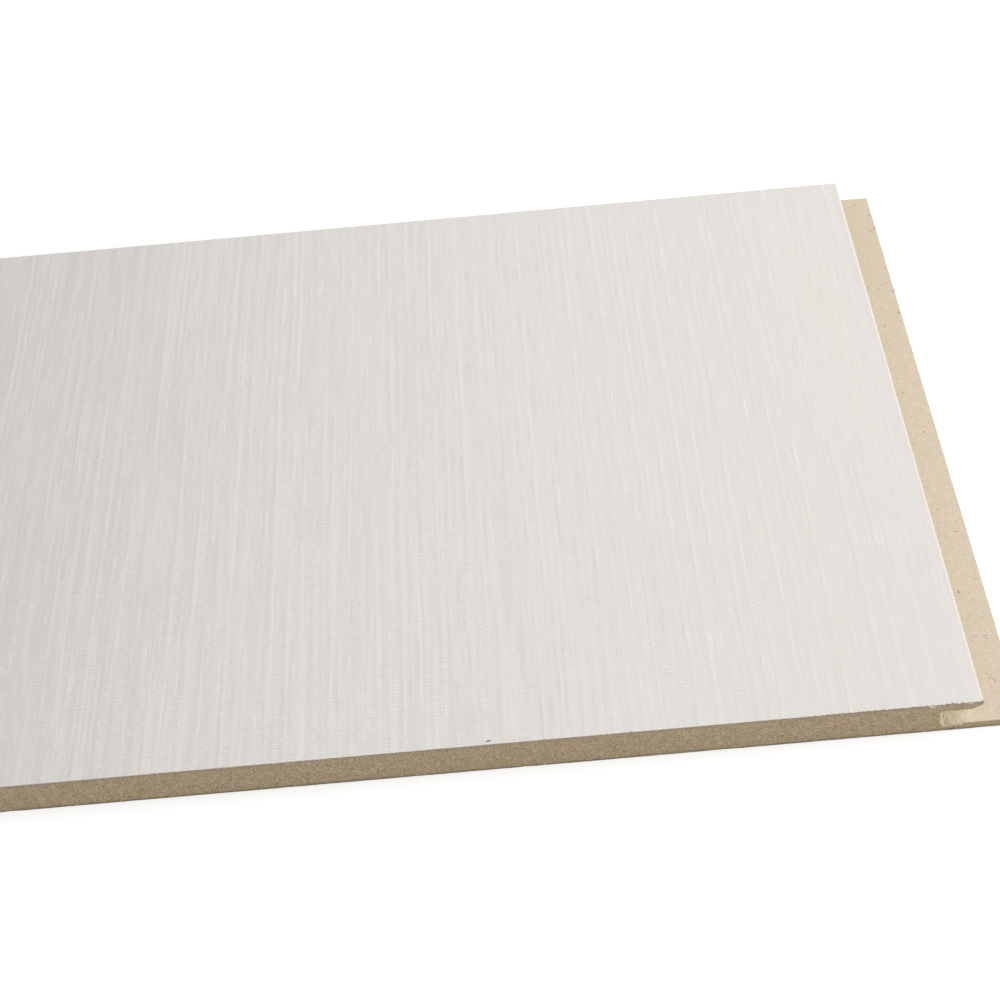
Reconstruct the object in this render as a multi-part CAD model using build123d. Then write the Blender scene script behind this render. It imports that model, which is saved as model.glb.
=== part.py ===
from build123d import *
import os

# Foil-faced MDF wall panel, lying face up: a sample sawn from a long panel.
# X runs across the panel, towards the edge with the groove and the fixing lip.
# Y runs along the panel, from the near sawn end to the far one. Z is up.
# The origin is the middle of the back, on the surface that the panel lies on.

# Driving dimensions, in millimetres
LENGTH = 300.0  # between the two sawn ends
COVER_WIDTH = 375.0  # width of the decorated face
THICKNESS = 10.0  # over the foil
FOIL = 0.2  # thickness of the decor foil
FOIL_SLOPE = 0.4  # width of the slope that the cutter leaves on the foil's long edges

# Grooved edge, on the right
UPPER_LIP = 2.7  # from the face to the roof of the groove
LOWER_LIP = 2.4  # from the floor of the groove to the back
GROOVE_DEPTH = 11.6  # from the face's edge to the back wall of the groove
LIP_REACH = 11.7  # how far the fixing lip stands out beyond the face's edge
NOSE_BEVEL = 3.2  # width of the bevel under the upper lip's nose
NOSE_LAND = 1.1  # what is left square at the nose, foil included
ROOT_RADIUS = 0.5  # in the two inner corners of the groove
LIP_ARRIS = 0.3  # eased corners of the fixing lip

# Tongue edge, on the left, which fits the grooved edge of the next panel
TONGUE_PLAY = 0.15  # above the tongue, and between it and the fixing lip below
TONGUE_END_PLAY = 0.8  # between the tongue's nose and the back wall of the groove
LIP_END_PLAY = 0.8  # between the fixing lip's edge and the rebate's shoulder
TONGUE_CHAMFER = 1.0  # lead-in on the tongue's nose

# Levels above the back
CORE_TOP = THICKNESS - FOIL
GROOVE_FLOOR = LOWER_LIP
GROOVE_ROOF = THICKNESS - UPPER_LIP
TONGUE_UNDER = GROOVE_FLOOR + TONGUE_PLAY
TONGUE_TOP = GROOVE_ROOF - TONGUE_PLAY

# Places across the panel
TONGUE_REACH = GROOVE_DEPTH - TONGUE_END_PLAY
OVERALL_WIDTH = TONGUE_REACH + COVER_WIDTH + LIP_REACH
TONGUE_NOSE = -OVERALL_WIDTH / 2
LIP_EDGE = OVERALL_WIDTH / 2
FACE_LEFT = TONGUE_NOSE + TONGUE_REACH
FACE_RIGHT = LIP_EDGE - LIP_REACH
GROOVE_WALL = FACE_RIGHT - GROOVE_DEPTH
REBATE_SHOULDER = FACE_LEFT + LIP_REACH + LIP_END_PLAY


def corner(sketch, x, z):
    """The corner of a section that lies at x across the panel and z above its back."""
    return sketch.vertices().sort_by_distance(Vector(x, 0, z))[0]


def along_panel(section):
    """A section in the XZ plane, run from the near sawn end to the far one."""
    return extrude(section, amount=LENGTH / 2, dir=(0, 1, 0), both=True)


def grooved_edge():
    """Corners of the right edge, from the core's top down to the back."""
    return [
        (FACE_RIGHT, CORE_TOP),
        (FACE_RIGHT, THICKNESS - NOSE_LAND),
        (FACE_RIGHT - NOSE_BEVEL, GROOVE_ROOF),
        (GROOVE_WALL, GROOVE_ROOF),
        (GROOVE_WALL, GROOVE_FLOOR),
        (LIP_EDGE, GROOVE_FLOOR),
        (LIP_EDGE, 0),
    ]


def tongue_edge():
    """Corners of the left edge, from the back up to the core's top."""
    return [
        (REBATE_SHOULDER, 0),
        (REBATE_SHOULDER, TONGUE_UNDER),
        (TONGUE_NOSE, TONGUE_UNDER),
        (TONGUE_NOSE, TONGUE_TOP),
        (FACE_LEFT, TONGUE_TOP),
        (FACE_LEFT, CORE_TOP),
    ]


def mdf_board():
    """The board itself: one moulded section with both long edges milled into it."""
    outline = [(x, 0, z) for x, z in grooved_edge() + tongue_edge()]
    section = make_face(Polyline(*outline, close=True))
    roots = [corner(section, GROOVE_WALL, z) for z in (GROOVE_ROOF, GROOVE_FLOOR)]
    section = fillet(roots, ROOT_RADIUS)
    lip = [corner(section, LIP_EDGE, z) for z in (GROOVE_FLOOR, 0)]
    section = chamfer(lip, LIP_ARRIS)
    nose = [corner(section, TONGUE_NOSE, z) for z in (TONGUE_TOP, TONGUE_UNDER)]
    section = chamfer(nose, TONGUE_CHAMFER)
    return along_panel(section)


def decor_foil():
    """The foil on the face, with its long edges cut to a slope by the cutter."""
    outline = [
        (FACE_LEFT, 0, CORE_TOP),
        (FACE_RIGHT, 0, CORE_TOP),
        (FACE_RIGHT - FOIL_SLOPE, 0, THICKNESS),
        (FACE_LEFT + FOIL_SLOPE, 0, THICKNESS),
    ]
    return along_panel(make_face(Polyline(*outline, close=True)))


os.makedirs("parts", exist_ok=True)
for name, make in (("mdf_board", mdf_board), ("decor_foil", decor_foil)):
    piece = make()
    export_step(piece, f"parts/{name}.step")
    size = piece.bounding_box().size
    print(f"{name}: {size.X:.2f} x {size.Y:.2f} x {size.Z:.2f} mm, volume {piece.volume:.0f} mm3")
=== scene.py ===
# %% [markdown]
# # A foil-faced fibreboard wall panel
# The panel lies face up: a sample sawn from a long board. Its face is a printed foil that
# looks like slubby linen, its ends are sawn, and its long edges are milled, one with a groove
# and a fixing lip and the other with a tongue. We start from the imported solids, which are the
# fixed frame, and dress each physical piece over its own solid, so that nothing changes size.

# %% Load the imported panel
import math

import bmesh
import bpy
import numpy as np
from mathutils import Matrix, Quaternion, Vector
from mathutils.geometry import delaunay_2d_cdt


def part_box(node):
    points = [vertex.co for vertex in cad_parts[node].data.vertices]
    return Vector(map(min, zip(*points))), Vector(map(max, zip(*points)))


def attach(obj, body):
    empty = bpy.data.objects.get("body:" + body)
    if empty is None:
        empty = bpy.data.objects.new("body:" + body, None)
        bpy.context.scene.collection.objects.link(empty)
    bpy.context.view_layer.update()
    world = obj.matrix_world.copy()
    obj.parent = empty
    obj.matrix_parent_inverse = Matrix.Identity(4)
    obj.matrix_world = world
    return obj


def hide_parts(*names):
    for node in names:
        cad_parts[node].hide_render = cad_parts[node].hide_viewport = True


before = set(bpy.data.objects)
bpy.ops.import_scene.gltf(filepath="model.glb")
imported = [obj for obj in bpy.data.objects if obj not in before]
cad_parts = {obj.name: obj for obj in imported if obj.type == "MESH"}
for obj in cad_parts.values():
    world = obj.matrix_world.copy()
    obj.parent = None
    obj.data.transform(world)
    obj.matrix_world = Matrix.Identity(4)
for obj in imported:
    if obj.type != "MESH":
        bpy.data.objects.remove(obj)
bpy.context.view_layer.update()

MM = 0.001
board_low, board_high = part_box("mdf_board")
foil_low, foil_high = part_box("decor_foil")
NEAR_END = board_low.y / MM
FAR_END = board_high.y / MM
print("board", board_low, board_high)
print("foil", foil_low, foil_high)

# %% [markdown]
# ## A short hand for node networks
# A texture network is a sum of small steps, and written out node by node it hides what it
# computes. This helper adds one node per call and returns its output, so a network reads like a
# formula. The same nodes exist in shader trees and in geometry trees, which lets one function
# drive both the colour of a thread and its height.


# %% The helper for networks
class Net:
    """Adds nodes to one tree and links them. Values may be numbers or sockets."""

    def __init__(self, tree):
        self.tree = tree

    def node(self, kind, **settings):
        made = self.tree.nodes.new(kind)
        for key, value in settings.items():
            setattr(made, key, value)
        return made

    def put(self, socket, value):
        """Links value to the socket, or writes it there if it is a plain number or colour."""
        if isinstance(value, bpy.types.NodeSocket):
            self.tree.links.new(value, socket)
        else:
            socket.default_value = value

    def math(self, operation, a, b=0.0):
        made = self.node("ShaderNodeMath", operation=operation)
        self.put(made.inputs[0], a)
        self.put(made.inputs[1], b)
        return made.outputs[0]

    def add(self, a, b):
        return self.math("ADD", a, b)

    def times(self, a, b):
        return self.math("MULTIPLY", a, b)

    def apart(self, value, middle):
        """How far value is from the number middle, on either side of it."""
        return self.math("ABSOLUTE", self.add(value, -middle))

    def squares(self, a, b):
        """The sum of the squares of two values."""
        return self.add(self.times(a, a), self.times(b, b))

    def ramp(self, value, low, high, start=0.0, end=1.0, kind="SMOOTHSTEP"):
        """Value from low to high becomes start to end, and stays there beyond them."""
        made = self.node("ShaderNodeMapRange", interpolation_type=kind, clamp=True)
        for socket, given in zip(made.inputs, (value, low, high, start, end)):
            self.put(socket, given)
        return made.outputs[0]

    def band(self, value, middle, inner, outer):
        """1 where value is within inner of the number middle, and 0 from outer onwards."""
        return self.ramp(self.apart(value, middle), outer, inner)

    def vector(self, x, y, z=0.0):
        made = self.node("ShaderNodeCombineXYZ")
        for socket, given in zip(made.inputs, (x, y, z)):
            self.put(socket, given)
        return made.outputs[0]

    def split(self, vector):
        made = self.node("ShaderNodeSeparateXYZ")
        self.put(made.inputs[0], vector)
        return made.outputs[0], made.outputs[1], made.outputs[2]

    def millimetres(self, vector):
        """The three parts of a place that is given in metres, each in millimetres."""
        return [self.times(part, 1 / MM) for part in self.split(vector)]

    def noise(self, vector, scale=1.0, detail=2.0, roughness=0.5, distortion=0.0):
        made = self.node("ShaderNodeTexNoise")
        self.put(made.inputs["Vector"], vector)
        made.inputs["Scale"].default_value = scale
        made.inputs["Detail"].default_value = detail
        made.inputs["Roughness"].default_value = roughness
        made.inputs["Distortion"].default_value = distortion
        return made.outputs[0]

    def colours(self, factor, a, b):
        """Colour a where factor is 0 and colour b where it is 1."""
        made = self.node("ShaderNodeMix", data_type="RGBA")
        self.put(made.inputs[0], factor)
        self.put(made.inputs[6], a)
        self.put(made.inputs[7], b)
        return made.outputs[2]


# %% Trees with named sockets, and colours as they look
FLOAT = "NodeSocketFloat"
INTEGER = "NodeSocketInt"
VECTOR = "NodeSocketVector"
MATERIAL = "NodeSocketMaterial"
GEOMETRY = "NodeSocketGeometry"


def tree_with(kind, name, inputs, outputs):
    """A node tree with named sockets: (name, socket type, default) in, (name, type) out."""
    tree = bpy.data.node_groups.new(name, kind)
    for title, socket_type, default in inputs:
        made = tree.interface.new_socket(title, in_out="INPUT", socket_type=socket_type)
        if default is not None:
            made.default_value = default
    for title, socket_type in outputs:
        tree.interface.new_socket(title, in_out="OUTPUT", socket_type=socket_type)
    net = Net(tree)
    return net, net.node("NodeGroupInput").outputs, net.node("NodeGroupOutput").inputs


def shader_group(name, outputs):
    """A shader group that takes a place, Vector, and gives out the named values."""
    given = [("Vector", VECTOR, None)]
    return tree_with("ShaderNodeTree", name, given, [(title, FLOAT) for title in outputs])


def geometry_tree(name, inputs):
    """A geometry tree that takes Geometry and the named inputs, and gives out Geometry."""
    given = [("Geometry", GEOMETRY, None), *inputs]
    return tree_with("GeometryNodeTree", name, given, [("Geometry", GEOMETRY)])


def srgb(red, green, blue):
    """A colour as it looks on screen, 0 to 255, as the linear values that shaders use."""
    parts = (np.array([red, green, blue]) / 255.0).tolist()
    linear = [p / 12.92 if p <= 0.04045 else ((p + 0.055) / 1.055) ** 2.4 for p in parts]
    return (*linear, 1.0)


# %% [markdown]
# ## The long threads of the linen print
# In woven linen the long threads keep their tone over the whole board, while each swells and
# thins over a few centimetres. The foil prints and embosses that. Threads drawn one by one would
# look ruled, so each run is a noise stretched along Y: one for the pale ribs that go from end to
# end, one for whole threads and one for swellings. A slow sway and a quicker wander bend them
# all together. The functions take lengths in millimetres, and geometry and colour share them, so
# that the emboss and the print agree.

# %% Long threads: each field of noise has its width, its run along the panel and its layer
THREAD_WIDTH = 1.7
RIB_WIDTH = 1.9
SWAY = (40.0, 110.0, 0.0)
SWAY_REACH = 1.8
WANDER = (8.0, 9.0, 3.0)
WANDER_REACH = 0.6
WHOLE = (THREAD_WIDTH, 100.0, 3.1)
SWELL = (THREAD_WIDTH * 0.85, 18.0, 17.4)
RIB = (RIB_WIDTH, 420.0, 61.0)
RIB_SWELL = (RIB_WIDTH, 25.0, 73.0)


def streak(net, x, y, field, detail=1.0):
    """A field of noise, stretched along the panel."""
    width, run, layer = field
    place = net.vector(net.times(x, 1 / width), net.times(y, 1 / run), layer)
    return net.noise(place, detail=detail, roughness=0.5)


def shifted(net, x, noise, reach):
    """x moved to either side by a noise, at most by half of reach."""
    return net.add(x, net.times(net.add(noise, -0.5), reach))


def ribs(net, x, y):
    """1 on the long pale threads that run from end to end, 0 between them."""
    line = net.ramp(streak(net, x, y, RIB), 0.53, 0.66)
    return net.times(line, net.ramp(streak(net, x, y, RIB_SWELL), 0.35, 0.6, 0.35, 1.1))


def thread_tone(net, x, y):
    """How light the long threads are, about 0.5 on the whole, with the swellings in it."""
    x = shifted(net, x, streak(net, x, y, SWAY), SWAY_REACH)
    x = shifted(net, x, streak(net, x, y, WANDER), WANDER_REACH)
    tone = net.times(streak(net, x, y, WHOLE), 0.52)
    tone = net.add(tone, net.times(streak(net, x, y, SWELL), 0.36))
    return net.add(tone, net.times(ribs(net, x, y), 0.22))


# %% [markdown]
# ## Where the print is clear, and where it breaks up
# The print is clearest towards the tongue. Towards the groove it fades, and its threads come and
# go, in short patches and one by one. One strength for the whole face would look like
# wallpaper, so two masks multiply the tone, and both grow with X: a patchy one, and one as narrow
# as the threads.

# %% Clear and faint places
CLEAR_AT = -60.0
PALE_AT = 160.0
FAR_FADE_FROM = -90.0
FAR_FADE_FULL = 120.0
PATCHES = (5.0, 32.0, 53.0)
BREAKS = (1.5, 13.0, 83.0)


def clearness(net, x, most, least):
    """The value most near the tongue and least near the groove, with even steps between."""
    return net.ramp(x, CLEAR_AT, PALE_AT, most, least, "LINEAR")


def far_fade(net, y, least):
    """The print is a little fainter towards the far end."""
    return net.ramp(y, FAR_FADE_FROM, FAR_FADE_FULL, 1.0, least, "LINEAR")


def boldness(net, x, y):
    """The print comes and goes: a little near the tongue, and in short runs at the groove."""
    least = clearness(net, x, 0.8, 0.05)
    most = clearness(net, x, 1.15, 1.6)
    return net.ramp(streak(net, x, y, PATCHES), 0.38, 0.62, least, most)


def broken(net, x, y):
    """Near the groove single threads come and go over a centimetre or two."""
    least = clearness(net, x, 1.0, 0.08)
    most = clearness(net, x, 1.05, 2.1)
    return net.ramp(streak(net, x, y, BREAKS), 0.46, 0.64, least, most)


# %% [markdown]
# ## Slubs, gaps and neps
# Hand-spun thread has slubs, where it thickens for a centimetre or two, thin places that read as
# gaps, and neps, which are tiny pale knots. All of them are rare, so slubs and gaps are the peaks
# of a noise above a threshold. A nep needs one round place, so each cell of a square grid draws
# a place for one by white noise, and most cells leave it out.

# %% Single thick and thin places
PALE_SLUBS = (0.7, 20.0, 47.0)
DARK_GAPS = (0.7, 20.0, 67.0)
NEP_SIZE = (0.378, 0.289)
NEP_CELL = 4.0
NEP_SHARE = 0.05
NEP_SHARE_AT_GROOVE = NEP_SHARE * 0.15
NEPS_THIN_FROM = 20.0
NEPS_THIN_FULL = 90.0


def slubs(net, x, y):
    """(pale, dark): short thick places of single threads, and gaps beside them, 0 to 1."""
    pale = net.ramp(streak(net, x, y, PALE_SLUBS), 0.65, 0.75)
    dark = net.ramp(streak(net, x, y, DARK_GAPS), 0.66, 0.76)
    return pale, dark


def neps(net, x, y):
    """1 in the few pale knots, at most one in each cell of a square grid, 0 elsewhere."""
    column = net.math("FLOOR", net.times(x, 1 / NEP_CELL))
    row = net.math("FLOOR", net.times(y, 1 / NEP_CELL))
    chance = net.node("ShaderNodeTexWhiteNoise", noise_dimensions="2D")
    net.put(chance.inputs["Vector"], net.vector(column, row))
    shift_x, shift_y, drawn = net.split(chance.outputs["Color"])
    off_x = net.add(x, net.times(net.add(column, shift_x), -NEP_CELL))
    off_y = net.add(y, net.times(net.add(row, shift_y), -NEP_CELL))
    off = net.squares(net.times(off_x, 1 / NEP_SIZE[0]), net.times(off_y, 1 / NEP_SIZE[1]))
    share = net.ramp(x, NEPS_THIN_FROM, NEPS_THIN_FULL, NEP_SHARE, NEP_SHARE_AT_GROOVE)
    return net.times(net.ramp(off, 1.5, 0.2), net.math("LESS_THAN", drawn, share))


# %% [markdown]
# ## Cross threads
# Cross threads go over and under the long ones, so they show only as short dashes, each with a
# paler side and a darker one. These are painted highlight and painted shade on the raised thread,
# as well as the foil's print. At every cross thread the long ones jog a little to the side, which
# gives them the stepped edges of a real weave. A tiled picture of a weave would show its tiles, so
# the rows are counted from Y, and each row reads its own part of a noise.

# %% Rows of cross threads: their fields have a width, a step from row to row and a layer
WEFT_PITCH = 1.08
WEFT_SWAY = (60.0, 25.0, 5.0)
WEFT_PATCHES = (5.0, 10.0, 23.0)
DASHES = (2.2, 7.77, 11.0)
JOGS = (2.2, 7.3, 41.0)
JOG_REACH = 0.34
# Where across each row the painted highlight and the painted shade of a cross thread lie.
HIGHLIT_SIDE = 0.66
SHADED_SIDE = 0.26

# How dashes get rarer: from one place to another, with what is added at each.
RARER_TO_GROOVE = (-20.0, 160.0, 0.04, -0.10)
RARER_TO_TONGUE = (-130.0, -50.0, -0.03, 0.0)
RARER_TO_FAR_END = (-140.0, 80.0, 0.06, -0.07)


def by_row(net, x, row, field, detail):
    """A field of noise that changes along x, and anew in each row."""
    width, step, layer = field
    place = net.vector(net.times(x, 1 / width), net.times(row, step), layer)
    return net.noise(place, detail=detail)


def weft_rows(net, x, y):
    """The place along the panel, counted in cross threads from the middle."""
    sway = streak(net, x, y, WEFT_SWAY)
    return net.add(net.times(y, 1 / WEFT_PITCH), net.times(sway, 0.3))


def jogged(net, x, row):
    """Each cross thread pushes the long ones aside, by another way in each row."""
    return shifted(net, x, by_row(net, x, row, JOGS, 0.0), JOG_REACH)


def weft_share(net, x, y):
    """How many dashes show, 0 to 1: most at the near end, and fewer at both long edges."""
    patch = streak(net, x, y, WEFT_PATCHES, 2.0)
    patch = net.add(patch, net.ramp(x, *RARER_TO_GROOVE))
    patch = net.add(patch, net.ramp(x, *RARER_TO_TONGUE))
    patch = net.add(patch, net.ramp(y, *RARER_TO_FAR_END, "LINEAR"))
    return net.ramp(patch, 0.47, 0.60, 0.02, 1.0)


def weft_dashes(net, x, y, rows, row):
    """(painted highlight, painted shade) on the two sides of the cross threads, each from 0 to 1.
    """
    dash = net.ramp(by_row(net, x, row, DASHES, 1.0), 0.50, 0.58)
    dash = net.times(dash, weft_share(net, x, y))
    across = net.math("FRACT", rows)
    light = net.band(across, HIGHLIT_SIDE, 0.10, 0.22)
    dark = net.band(across, SHADED_SIDE, 0.10, 0.22)
    return net.times(light, dash), net.times(dark, dash)


# %% [markdown]
# ## The foil's shape
# The real foil is a fifth of a millimetre of printed paper, glued over the face. The cutter
# leaves its long edges sloped, and the saw tears its ends: they are ragged, most of all over
# the thin lip, where the paper had little behind it. A modifier on a plain plane could fake this,
# but a closed sheet with a fine grid takes both the emboss and the torn ends as true shape.

# %% Helpers for meshes with named values on their points
def mesh_object(name, points, faces, values):
    """An object at the origin, with one float attribute for each entry of values."""
    mesh = bpy.data.meshes.new(name)
    mesh.from_pydata([tuple(p) for p in points], [], faces)
    for key, numbers in values.items():
        layer = mesh.attributes.new(key, "FLOAT", "POINT")
        layer.data.foreach_set("value", np.asarray(numbers, np.float32))
    made = bpy.data.objects.new(name, mesh)
    bpy.context.scene.collection.objects.link(made)
    return made


def merge_points(made, distance=1e-7):
    """Joins points that lie in one place, which closes the seams."""
    work = bmesh.new()
    work.from_mesh(made.data)
    bmesh.ops.remove_doubles(work, verts=work.verts, dist=distance)
    work.to_mesh(made.data)
    work.free()


def graded(start, end, fine, coarse, reach):
    """Stations from start to end: fine steps within reach of both ends, coarse between."""
    inner = [start + step for step in np.arange(0.0, reach + fine / 2, fine)]
    count = max(2, round((end - start - 2 * reach) / coarse) + 1)
    middle = np.linspace(start + reach, end - reach, count)[1:-1]
    outer = [start + end - place for place in reversed(inner)]
    return np.array(inner + middle.tolist() + outer)


# %% The plain foil sheet, closed and gridded
FOIL_SLOPE = 0.4 * MM
FOIL_COLUMNS = 938
FOIL_ROW = 3.3 * MM
FOIL_END_ROW = 0.6 * MM
FOIL_END_REACH = 1.2 * MM


def foil_sheet():
    """The foil's face and sloped rim as a grid, and one face under it that closes it."""
    across = np.linspace(foil_low.x + FOIL_SLOPE, foil_high.x - FOIL_SLOPE, FOIL_COLUMNS)
    across = np.concatenate(([foil_low.x], across, [foil_high.x]))
    along = graded(foil_low.y, foil_high.y, FOIL_END_ROW, FOIL_ROW, FOIL_END_REACH)
    along = np.concatenate(([foil_low.y], along, [foil_high.y]))
    columns, rows = len(across), len(along)
    x, y = np.meshgrid(across, along)
    rim = np.zeros((rows, columns), bool)
    rim[[0, -1], :] = True
    rim[:, [0, -1]] = True
    z = np.where(rim, foil_low.z, foil_high.z)
    torn = np.zeros((rows, columns))
    torn[:2, :] = 1.0
    torn[-2:, :] = -1.0
    index = np.arange(rows * columns).reshape(rows, columns)
    quads = np.stack([index[:-1, :-1], index[:-1, 1:], index[1:, 1:], index[1:, :-1]], -1)
    under = [*index[0], *index[1:, -1], *index[-1, -2::-1], *index[-2:0:-1, 0]]
    faces = quads.reshape(-1, 4).tolist() + [[int(i) for i in reversed(under)]]
    points = np.stack([x, y, z], -1).reshape(-1, 3)
    values = {"face": 1.0 - rim.ravel(), "torn": torn.ravel()}
    made = mesh_object("decor_foil_sheet", points, faces, values)
    merge_points(made)
    return made


foil = foil_sheet()
print("foil sheet:", len(foil.data.vertices), "points")

# %% [markdown]
# ## Emboss and torn ends, by Geometry Nodes
# The tree lowers each point of the face by how little thread there is, so no thread rises above
# the solid's own face, and it pulls the sawn rows inwards. The tear is a fine noise everywhere,
# with deeper teeth here and there, and it grows towards the thin lip at the near end, where the
# saw lifted the paper. Sculpting could do it too, but a tree follows any size of sheet.

# %% Steps that the geometry trees share
def in_millimetres(net):
    """The position's three parts, in millimetres."""
    return net.millimetres(net.node("GeometryNodeInputPosition").outputs[0])


def named(net, key):
    """One of the float attributes that the mesh was made with."""
    made = net.node("GeometryNodeInputNamedAttribute", data_type="FLOAT")
    made.inputs["Name"].default_value = key
    return made.outputs["Attribute"]


def moved(net, geometry, offset):
    made = net.node("GeometryNodeSetPosition")
    net.put(made.inputs["Geometry"], geometry)
    net.put(made.inputs["Offset"], offset)
    return made.outputs[0]


def realized(net, geometry):
    made = net.node("GeometryNodeRealizeInstances")
    net.put(made.inputs[0], geometry)
    return made.outputs[0]


def finished(net, geometry, finish, where=None):
    """Gives a material to the faces where the selection is true, or to all of them."""
    made = net.node("GeometryNodeSetMaterial")
    net.put(made.inputs["Geometry"], geometry)
    if where is not None:
        net.put(made.inputs["Selection"], where)
    net.put(made.inputs["Material"], finish)
    return made.outputs[0]


# %% The emboss tree
TOOTH_PITCH = 1.1
BITE_PITCH = 3.2
RAGGED_FROM = 125.0
RAGGED_FULL = 155.0
LEAST_RAGGED = 0.3
MOST_RAGGED = 1.3
CUT_NORMAL = 0.93


def foil_tree():
    """Presses the threads into the face, tears the ends and hands out two finishes."""
    inputs = [
        ("Emboss", FLOAT, 0.04),
        ("Tear", FLOAT, 0.3),
        ("Seed", FLOAT, 7.0),
        ("Face finish", MATERIAL, None),
        ("Cut finish", MATERIAL, None),
    ]
    net, given, out = geometry_tree("embossed_foil", inputs)
    x, y, _ = in_millimetres(net)
    height = net.ramp(thread_tone(net, x, y), 0.34, 0.66)
    sunk = net.times(net.math("SUBTRACT", height, 1.0), given["Emboss"])
    sunk = net.times(sunk, named(net, "face"))

    def along_edge(pitch, layer, detail):
        place = net.vector(net.times(x, 1 / pitch), layer, given["Seed"])
        return net.noise(place, detail=detail, roughness=0.7)

    teeth = net.ramp(along_edge(TOOTH_PITCH, 0.0, 2.0), 0.38, 0.66)
    bites = net.ramp(along_edge(BITE_PITCH, 9.0, 3.0), 0.54, 0.70, 0.0, 1.2)
    near = net.math("GREATER_THAN", named(net, "torn"), 0.5)
    ragged = net.ramp(x, RAGGED_FROM, RAGGED_FULL, LEAST_RAGGED, MOST_RAGGED)
    ragged = net.math("MAXIMUM", net.times(ragged, near), LEAST_RAGGED)
    tear = net.times(net.times(net.add(teeth, bites), ragged), given["Tear"])
    inward = net.times(tear, named(net, "torn"))

    offset = net.vector(0.0, net.times(inward, MM), net.times(sunk, MM))
    real = realized(net, moved(net, given["Geometry"], offset))
    done = finished(net, real, given["Face finish"])
    up = net.split(net.node("GeometryNodeInputNormal").outputs[0])[2]
    done = finished(net, done, given["Cut finish"], net.math("LESS_THAN", up, CUT_NORMAL))
    net.put(out["Geometry"], done)
    return net.tree


# %% Run a tree on an object, and keep what it makes
def set_by_name(modifier, values):
    """Sets a modifier's inputs through the identifiers that belong to their names."""
    for item in modifier.node_group.interface.items_tree:
        if item.item_type == "SOCKET" and item.in_out == "INPUT" and item.name in values:
            modifier[item.identifier] = values[item.name]


def shape_by(made, tree, values):
    """Runs a geometry tree on an object and keeps the result as its plain mesh."""
    modifier = made.modifiers.new(tree.name, "NODES")
    modifier.node_group = tree
    set_by_name(modifier, values)
    graph = bpy.context.evaluated_depsgraph_get()
    result = bpy.data.meshes.new_from_object(made.evaluated_get(graph), depsgraph=graph)
    made.modifiers.remove(modifier)
    made.data = result
    result.name = made.name


# %% [markdown]
# ## Finishes of the foil
# Printed paper is matt and a warm off-white. The print follows the very same threads as the
# emboss, because both use one function. A scanned sheet would look as good from one side only,
# while a shader group gives the threads, dashes, slubs and neps apart, so the material can colour
# each of them. The cut edge shows the paper itself, whitish where the cutter sloped it, and
# browner within a millimetre of the sawn ends.

# %% The linen print as a shader group
KNOTS = (THREAD_WIDTH * 0.8, 2.6, 31.9)
CLOUDS = (9.0, 180.0, 2.0)
GROUND_DIMS_FROM = 60.0
GROUND_DIMS_FULL = 190.0


def linen_group():
    """The print at a place, with one output for each thing that shows in it."""
    titles = ["Thread", "Weft highlight", "Weft shade", "Slub", "Gap", "Nep", "Cloud"]
    net, given, out = shader_group("linen_print", titles)
    x, y, _ = net.millimetres(given["Vector"])
    rows = weft_rows(net, x, y)
    row = net.math("FLOOR", rows)
    thread_x = jogged(net, x, row)
    knots = streak(net, thread_x, y, KNOTS, 2.0)
    tone = net.add(net.times(thread_tone(net, thread_x, y), 0.7), net.times(knots, 0.3))
    tone = net.times(net.add(tone, -0.5), boldness(net, x, y))
    tone = net.times(tone, broken(net, thread_x, y))
    pale = net.times(tone, net.times(clearness(net, x, 1.1, 0.42), far_fade(net, y, 0.78)))
    pale = net.add(pale, net.ramp(x, GROUND_DIMS_FROM, GROUND_DIMS_FULL, 0.018, -0.057))
    light, dark = weft_dashes(net, x, y, rows, row)
    slub, gap = slubs(net, thread_x, y)
    bold = clearness(net, x, 1.7, 0.8)
    net.put(out["Thread"], net.ramp(pale, -0.15, 0.15))
    net.put(out["Weft highlight"], light)
    net.put(out["Weft shade"], dark)
    net.put(out["Slub"], net.times(slub, bold))
    net.put(out["Gap"], net.times(gap, bold))
    net.put(out["Nep"], neps(net, x, y))
    net.put(out["Cloud"], net.ramp(streak(net, x, y, CLOUDS, 2.0), 0.3, 0.7))
    return net.tree


linen = linen_group()
print("linen print:", len(linen.nodes), "nodes")


# %% Helpers for materials
def new_material(name):
    """(material, its network, its Principled BSDF, the place in metres)."""
    made = bpy.data.materials.new(name)
    made.use_nodes = True
    net = Net(made.node_tree)
    skin = made.node_tree.nodes["Principled BSDF"]
    place = net.node("ShaderNodeTexCoord").outputs["Object"]
    return made, net, skin, place


def group_at(net, tree, place):
    """The outputs of a shader group that reads this place."""
    made = net.node("ShaderNodeGroup", node_tree=tree)
    net.put(made.inputs["Vector"], place)
    return made.outputs


def bump(net, skin, height, depth):
    """Feeds a height, 0 to 1, into the skin's normal, with its depth in metres."""
    made = net.node("ShaderNodeBump")
    made.inputs["Strength"].default_value = 1.0
    made.inputs["Distance"].default_value = depth
    net.put(made.inputs["Height"], height)
    net.put(skin.inputs["Normal"], made.outputs[0])


def spot(net, x, y, place, size, tilt=0.0):
    """1 inside a small soft ellipse, 0 outside it. The lengths are in millimetres."""
    off_x = net.add(x, -place[0])
    off_y = net.add(net.add(y, -place[1]), net.times(off_x, -tilt))
    off = net.squares(net.times(off_x, 1 / size[0]), net.times(off_y, 1 / size[1]))
    return net.ramp(off, 1.3, 0.5)


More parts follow.
